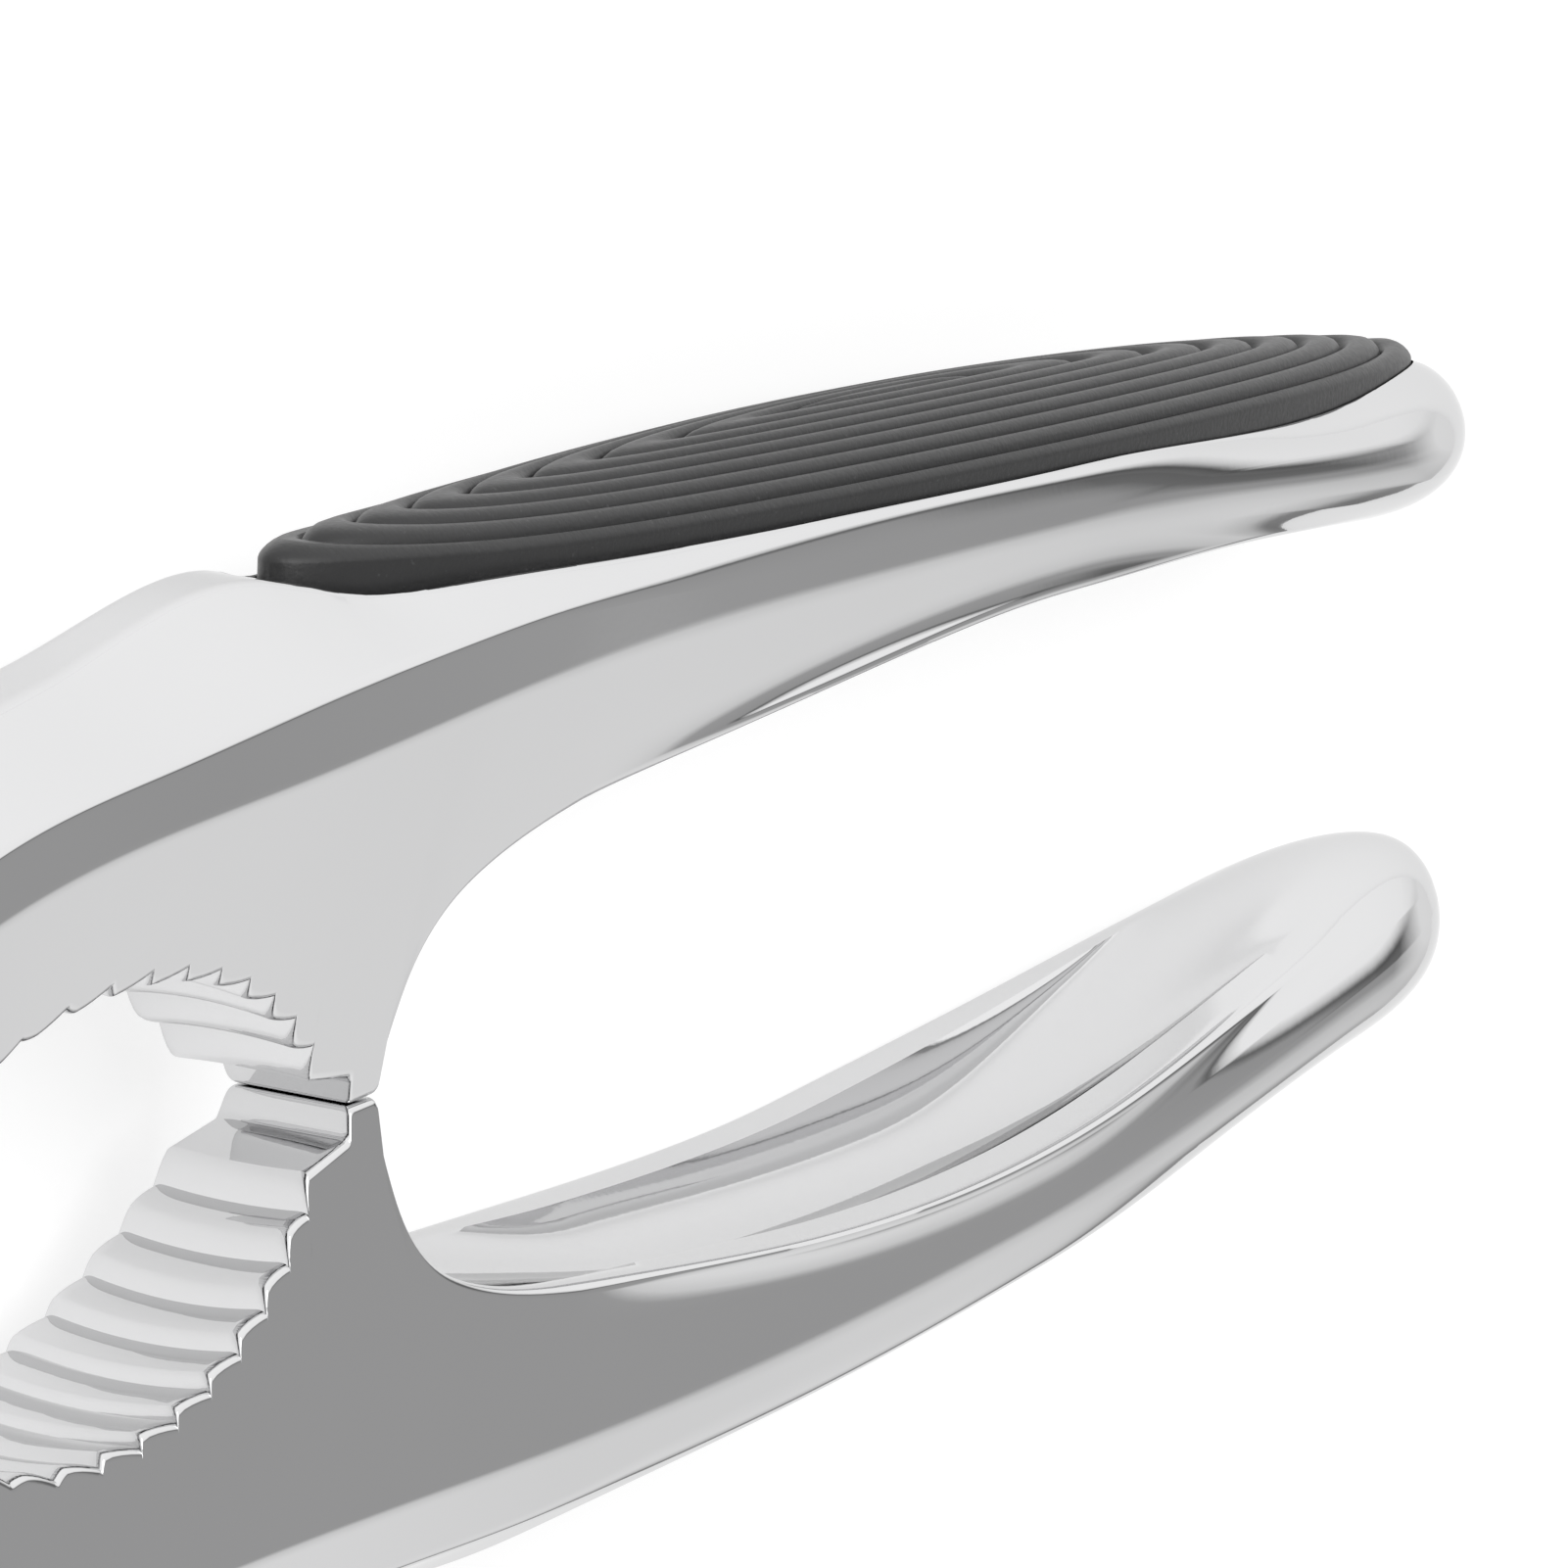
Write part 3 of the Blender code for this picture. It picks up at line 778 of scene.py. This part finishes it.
def grip_point(b, angle, drop=0.0):
    """Point of the inlay's top on the ring b (1 at the rim) at an angle round it."""
    middle, reach = (GRIP_START + GRIP_END) / 2, (GRIP_END - GRIP_START) / 2
    share = (1 + math.cos(angle)) / 2
    x = middle + reach * b**GRIP_TIP_POWER * math.cos(angle)
    z = b * GRIP_HALF_WIDTH * math.sqrt(max(0.0, math.sin(math.pi * share)))
    if math.sin(angle) < 0:
        z = -z
    half = max(grip_half_width(x), 0.05)
    crown = GRIP_CROWN * half / GRIP_HALF_WIDTH
    return x, grip_edge(x) + crown * (1 - min(1.0, abs(z) / half)**2) - drop, z


def ring_angles(steps):
    """Angles round the inlay, closer together at its pointed ends."""
    angles = []
    for k in range(steps):
        a = math.tau * k / steps
        angles.append(a - 0.25 * math.sin(2 * a))
    return angles


def build_grip(settings, name, side, sink, body, node):
    """Domed rubber inlay with concentric grooves; sink lowers its top."""
    material = rubber_material(settings)
    count = settings.groove_count
    pitch = GROOVED_SHARE / count
    rings, phases, depths = [], [], []
    angles = ring_angles(200)
    rounding = GRIP_ROUNDING

    def add(points, phase=0.0, depth=0.0):
        rings.append(points)
        phases.append(phase)
        depths.append(depth)

    def top(b, a, drop=0.0):
        return grip_point(b, a, drop + sink)

    def wall(a, low):
        x, y, z = top(1.0, a)
        return x, (pocket_floor(x) + POCKET_CLEARANCE if low else y - rounding), z

    add([wall(a, True) for a in angles])
    add([wall(a, False) for a in angles])
    for k in range(1, 6):
        t = math.pi / 2 * k / 5
        b = 1 - rounding * (1 - math.cos(t)) / GRIP_HALF_WIDTH
        add([top(b, a, rounding * (1 - math.sin(t))) for a in angles])
    first = FIRST_CREST + pitch / 2
    levels = [(first - pitch * (ring + f), ring + f) for ring in range(count)
              for f in GROOVE_STOPS]
    for b, phase in levels:
        if b < 0.915:
            add([top(b, a) for a in angles], phase, 1.0)
    last = levels[-1][0]
    for b in (last * 0.7, last * 0.4, last * 0.15):
        add([top(b, a) for a in angles])
    grip = object_from(name, skin(rings, side))
    n = len(angles)
    phase = [p for p in phases for _ in range(n)] + [0.0, 0.0]
    depth = [d for d in depths for _ in range(n)] + [0.0, 0.0]
    store(grip, phase, [0.5] * len(phase), depth, [(0.0, -side, 0.0)] * len(phase))
    add_ridges(grip, settings.groove_depth, settings.groove_roundness, material)
    freeze(grip)
    drop_facts(grip)
    finish_shading(grip, material, 50)
    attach(grip, body)
    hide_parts(node)
    return grip


def new_material(name):
    """Principled material emptied of old nodes: (material, nodes, links, shader)."""
    mat = bpy.data.materials.get(name) or bpy.data.materials.new(name)
    mat.use_nodes = True
    nodes, links = mat.node_tree.nodes, mat.node_tree.links
    nodes.clear()
    shader = nodes.new("ShaderNodeBsdfPrincipled")
    output = nodes.new("ShaderNodeOutputMaterial")
    links.new(shader.outputs["BSDF"], output.inputs["Surface"])
    return mat, nodes, links, shader


def noise(nodes, links, scale, detail=3.0, squeeze=(1.0, 1.0, 1.0)):
    """Noise in the object's own coordinates; squeeze stretches it along an axis."""
    where = nodes.new("ShaderNodeTexCoord")
    mapping = nodes.new("ShaderNodeMapping")
    mapping.inputs["Scale"].default_value = squeeze
    texture = nodes.new("ShaderNodeTexNoise")
    texture.inputs["Scale"].default_value = scale
    texture.inputs["Detail"].default_value = detail
    links.new(where.outputs["Object"], mapping.inputs["Vector"])
    links.new(mapping.outputs["Vector"], texture.inputs["Vector"])
    return texture.outputs["Fac"]


def in_range(nodes, links, value, low, high, start=0.0, end=1.0):
    """Value brought from the range start to end into the range low to high."""
    node = nodes.new("ShaderNodeMapRange")
    node.inputs["From Min"].default_value = start
    node.inputs["From Max"].default_value = end
    node.inputs["To Min"].default_value = low
    node.inputs["To Max"].default_value = high
    links.new(value, node.inputs["Value"])
    return node.outputs["Result"]


def bump(nodes, links, height, strength, distance, normal=None):
    """Normal of a surface with fine relief, over another normal where one is given."""
    node = nodes.new("ShaderNodeBump")
    node.inputs["Strength"].default_value = strength
    node.inputs["Distance"].default_value = distance
    links.new(height, node.inputs["Height"])
    if normal is not None:
        links.new(normal, node.inputs["Normal"])
    return node.outputs["Normal"]


def two_tone(nodes, links, value, colour, other):
    """Colour between two as the value goes from 0 to 1."""
    node = nodes.new("ShaderNodeMix")
    node.data_type = "RGBA"
    node.inputs["A"].default_value = (*colour, 1.0)
    node.inputs["B"].default_value = (*other, 1.0)
    links.new(value, node.inputs["Factor"])
    return node.outputs["Result"]


def chrome_material(settings):
    """Mirror plating over a cast surface that waves very slightly."""
    mat, nodes, links, shader = new_material("chrome_plating")
    colour = tuple(settings.chrome_colour)
    tint = tuple(c * 0.975 for c in colour)
    tone = two_tone(nodes, links, noise(nodes, links, 60.0), colour, tint)
    links.new(tone, shader.inputs["Base Color"])
    shader.inputs["Metallic"].default_value = 1.0
    shader.inputs["Specular Tint"].default_value = (0.8, 0.8, 0.8, 1.0)
    rough = settings.chrome_roughness
    blur = in_range(nodes, links, noise(nodes, links, 220.0, 5.0), rough * 0.7, rough * 1.5)
    links.new(blur, shader.inputs["Roughness"])
    wave = bump(nodes, links, noise(nodes, links, 45.0, 1.0), 0.12, 0.0003)
    fine = bump(nodes, links, noise(nodes, links, 1800.0, 2.0), 0.02, 0.00005, wave)
    links.new(fine, shader.inputs["Normal"])
    return mat


def rubber_material(settings):
    """Moulded rubber with a fine grain and a few pale specks."""
    mat, nodes, links, shader = new_material("moulded_rubber")
    colour = tuple(settings.rubber_colour)
    pale = tuple(min(1.0, c * 2.4 + 0.02) for c in colour)
    specks = in_range(nodes, links, noise(nodes, links, 2600.0, 2.0), 0.0, 1.0, 0.66, 0.8)
    cloud = in_range(nodes, links, noise(nodes, links, 160.0, 4.0), 0.0, 0.22)
    most = nodes.new("ShaderNodeMath")
    most.operation = "MAXIMUM"
    links.new(specks, most.inputs[0])
    links.new(cloud, most.inputs[1])
    links.new(two_tone(nodes, links, most.outputs[0], colour, pale), shader.inputs["Base Color"])
    grain = noise(nodes, links, 3200.0, 3.0)
    links.new(in_range(nodes, links, grain, 0.34, 0.5), shader.inputs["Roughness"])
    links.new(bump(nodes, links, grain, 0.28, 0.00008), shader.inputs["Normal"])
    shader.inputs["Specular IOR Level"].default_value = 0.5
    return mat


def steel_material(settings):
    """Turned steel with rings round the pin's axis."""
    mat, nodes, links, shader = new_material("turned_steel")
    colour = tuple(settings.steel_colour)
    dark = tuple(c * 0.8 for c in colour)
    links.new(two_tone(nodes, links, noise(nodes, links, 500.0), colour, dark),
              shader.inputs["Base Color"])
    shader.inputs["Metallic"].default_value = 1.0
    where = nodes.new("ShaderNodeTexCoord")
    mapping = nodes.new("ShaderNodeMapping")
    mapping.inputs["Location"].default_value = (-(HINGE_X - CENTRE_X) * MM, 0.0, 0.0)
    rings = nodes.new("ShaderNodeTexWave")
    rings.wave_type = "RINGS"
    rings.rings_direction = "Z"
    rings.inputs["Scale"].default_value = 900.0
    rings.inputs["Distortion"].default_value = 0.6
    links.new(where.outputs["Object"], mapping.inputs["Vector"])
    links.new(mapping.outputs["Vector"], rings.inputs["Vector"])
    links.new(in_range(nodes, links, rings.outputs["Fac"], 0.2, 0.32),
              shader.inputs["Roughness"])
    links.new(bump(nodes, links, rings.outputs["Fac"], 0.15, 0.00003), shader.inputs["Normal"])
    return mat


def nylon_material(settings):
    """Slightly translucent moulded nylon."""
    mat, nodes, links, shader = new_material("moulded_nylon")
    colour = tuple(settings.nylon_colour)
    worn = tuple(c * 0.9 for c in colour)
    links.new(two_tone(nodes, links, noise(nodes, links, 260.0, 4.0), colour, worn),
              shader.inputs["Base Color"])
    grain = noise(nodes, links, 1500.0, 3.0)
    links.new(in_range(nodes, links, grain, 0.42, 0.6), shader.inputs["Roughness"])
    links.new(bump(nodes, links, grain, 0.15, 0.00005), shader.inputs["Normal"])
    shader.inputs["Subsurface Weight"].default_value = 0.1
    shader.inputs["Subsurface Scale"].default_value = 0.001
    return mat


def floor_material(settings):
    """Matt white studio paper that glows a little, so its shadows stay faint."""
    mat, nodes, links, shader = new_material("studio_paper")
    colour = tuple(settings.floor_colour)
    links.new(two_tone(nodes, links, noise(nodes, links, 8.0), colour,
                       tuple(c * 0.99 for c in colour)), shader.inputs["Base Color"])
    shader.inputs["Roughness"].default_value = 1.0
    shader.inputs["Specular IOR Level"].default_value = 0.0
    shader.inputs["Emission Color"].default_value = (1.0, 1.0, 1.0, 1.0)
    shader.inputs["Emission Strength"].default_value = FLOOR_GLOW
    return mat


def studio_world():
    """Sky of soft panels: pale below the arms' line, dark behind, white above."""
    world = bpy.data.worlds.get("studio") or bpy.data.worlds.new("studio")
    world.use_nodes = True
    nodes, links = world.node_tree.nodes, world.node_tree.links
    nodes.clear()
    where = nodes.new("ShaderNodeTexCoord")
    split = nodes.new("ShaderNodeSeparateXYZ")
    links.new(where.outputs["Generated"], split.inputs["Vector"])

    def ramp(value, stops):
        """Grey by a component of the direction, from (component, grey) stops."""
        shift = in_range(nodes, links, value, 0.0, 1.0, -1.0, 1.0)
        node = nodes.new("ShaderNodeValToRGB")
        elements = node.color_ramp.elements
        while len(elements) < len(stops):
            elements.new(0.5)
        for element, (place_at, grey) in zip(elements, stops):
            element.position = (place_at + 1) / 2
            element.color = (grey, grey, grey, 1.0)
        links.new(shift, node.inputs["Fac"])
        return node.outputs["Color"]

    across = ramp(split.outputs["Y"], SKY_ACROSS)
    height = ramp(split.outputs["Z"], SKY_HEIGHT)
    darkened = ramp(split.outputs["Y"], SKY_DARKENED)
    deep = ramp(split.outputs["X"], SKY_DEEP)
    ahead = ramp(split.outputs["X"], SKY_AHEAD)
    white = nodes.new("ShaderNodeRGB").outputs["Color"]
    white.default_value = (1.0, 1.0, 1.0, 1.0)

    def over(base, colour, factor, blend="MIX"):
        mix = nodes.new("ShaderNodeMix")
        mix.data_type = "RGBA"
        mix.blend_type = blend
        links.new(factor, mix.inputs["Factor"])
        links.new(base, mix.inputs["A"])
        links.new(colour, mix.inputs["B"])
        return mix.outputs["Result"]

    sky = over(across, height, darkened, "MULTIPLY")
    sky = over(sky, deep, darkened, "MULTIPLY")
    sky = over(sky, white, ahead)
    background = nodes.new("ShaderNodeBackground")
    output = nodes.new("ShaderNodeOutputWorld")
    links.new(sky, background.inputs["Color"])
    links.new(background.outputs["Background"], output.inputs["Surface"])
    return world


class NUTCRACKER_OT_arms(bpy.types.Operator):
    """Builds the two cast arms with their teeth, knuckles and inlay seats"""

    bl_idname = "nutcracker.arms"
    bl_label = "Cast Arms"

    def execute(self, context):
        settings = context.scene.nutcracker
        build_arm(settings, "upper_arm_casting", 1, "upper_lever", "upper_arm")
        build_arm(settings, "lower_arm_casting", -1, "lower_lever", "lower_arm")
        return {"FINISHED"}


class NUTCRACKER_OT_grips(bpy.types.Operator):
    """Builds the two grooved rubber inlays"""

    bl_idname = "nutcracker.grips"
    bl_label = "Grip Inlays"

    def execute(self, context):
        settings = context.scene.nutcracker
        build_grip(settings, "upper_grip_inlay", 1, 0.0, "upper_lever", "upper_grip")
        build_grip(settings, "lower_grip_inlay", -1, LOWER_GRIP_SINK, "lower_lever",
                   "lower_grip")
        return {"FINISHED"}


class NUTCRACKER_OT_hinge(bpy.types.Operator):
    """Builds the turned hinge pin and the two nylon washers"""

    bl_idname = "nutcracker.hinge"
    bl_label = "Hinge Pin and Washers"

    def execute(self, context):
        settings = context.scene.nutcracker
        top = HALF_THICKNESS - PIN_RECESS
        half = [(0.0, top - 0.25), (0.35, top - 0.2), (0.6, top), (PIN_RADIUS - 0.45, top),
                (PIN_RADIUS - 0.15, top - 0.1), (PIN_RADIUS, top - 0.35)]
        pin = turned("turned_pin", half + [(r, -z) for r, z in reversed(half)])
        finish_shading(pin, steel_material(settings))
        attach(pin, "lower_lever")
        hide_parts("hinge_pin")
        for name, low in (("upper_washer", WASHER_HALF_GAP),
                          ("lower_washer", -WASHER_HALF_GAP - WASHER_THICKNESS)):
            high, soft = low + WASHER_THICKNESS, 0.1
            inner, outer = WASHER_INNER_RADIUS, WASHER_OUTER_RADIUS
            ring = turned(f"{name}_disc", [
                (inner + soft, low), (outer - soft, low), (outer, low + soft),
                (outer, high - soft), (outer - soft, high), (inner + soft, high),
                (inner, high - soft), (inner, low + soft)])
            finish_shading(ring, nylon_material(settings))
            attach(ring, "lower_lever")
            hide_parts(name)
        return {"FINISHED"}


class NUTCRACKER_OT_stage(bpy.types.Operator):
    """Sets up the paper floor, the soft light, the sky and the camera"""

    bl_idname = "nutcracker.stage"
    bl_label = "Studio"

    def execute(self, context):
        settings = context.scene.nutcracker
        bm = bmesh.new()
        bmesh.ops.create_grid(bm, x_segments=1, y_segments=1, size=FLOOR_HALF_SIZE)
        floor = object_from("studio_floor", bm)
        floor.data.materials.append(floor_material(settings))
        lamp = bpy.data.lights.new("overhead", "AREA")
        lamp.shape = "DISK"
        lamp.size = LAMP_SIZE
        lamp.energy = settings.light_power
        light = bpy.data.objects.new("overhead", lamp)
        light.location = LAMP_PLACE
        light.rotation_mode = "QUATERNION"
        light.rotation_quaternion = (-light.location).to_track_quat("-Z", "Y")
        context.scene.collection.objects.link(light)
        context.scene.world = studio_world()
        camera = bpy.data.cameras.new("camera")
        camera.lens = CAMERA_LENS
        camera.sensor_width = CAMERA_SENSOR
        camera.dof.use_dof = False
        camera.clip_start, camera.clip_end = 0.01, 50.0
        holder = bpy.data.objects.new("camera", camera)
        right, back = Vector(CAMERA_RIGHT), Vector(CAMERA_BACK)
        turn = Matrix((right, back.cross(right), back)).transposed()
        holder.matrix_world = Matrix.Translation(CAMERA_PLACE) @ turn.to_4x4()
        context.scene.collection.objects.link(holder)
        context.scene.camera = holder
        context.scene.view_settings.view_transform = "Standard"
        return {"FINISHED"}


class NUTCRACKER_PT_panel(bpy.types.Panel):
    """Lists the pieces of the nutcracker"""

    bl_idname = "NUTCRACKER_PT_panel"
    bl_label = "Nutcracker"
    bl_space_type = "VIEW_3D"
    bl_region_type = "UI"
    bl_category = "Nutcracker"

    def draw(self, context):
        settings = context.scene.nutcracker
        for name in settings.bl_rna.properties.keys():
            if name not in ("rna_type", "name"):
                self.layout.prop(settings, name)
        for operator in OPERATORS:
            self.layout.operator(operator.bl_idname)


OPERATORS = (NUTCRACKER_OT_arms, NUTCRACKER_OT_grips, NUTCRACKER_OT_hinge, NUTCRACKER_OT_stage)
CLASSES = (NutcrackerSettings, *OPERATORS, NUTCRACKER_PT_panel)


def register():
    """Adds the classes and the scene's settings."""
    for cls in CLASSES:
        bpy.utils.register_class(cls)
    bpy.types.Scene.nutcracker = PointerProperty(type=NutcrackerSettings)


def unregister():
    """Takes away what register added."""
    del bpy.types.Scene.nutcracker
    for cls in reversed(CLASSES):
        bpy.utils.unregister_class(cls)


def main():
    """Builds everything."""
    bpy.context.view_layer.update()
    register()
    bpy.ops.nutcracker.arms()
    bpy.ops.nutcracker.grips()
    bpy.ops.nutcracker.hinge()
    bpy.ops.nutcracker.stage()


if __name__ == "__main__":
    main()
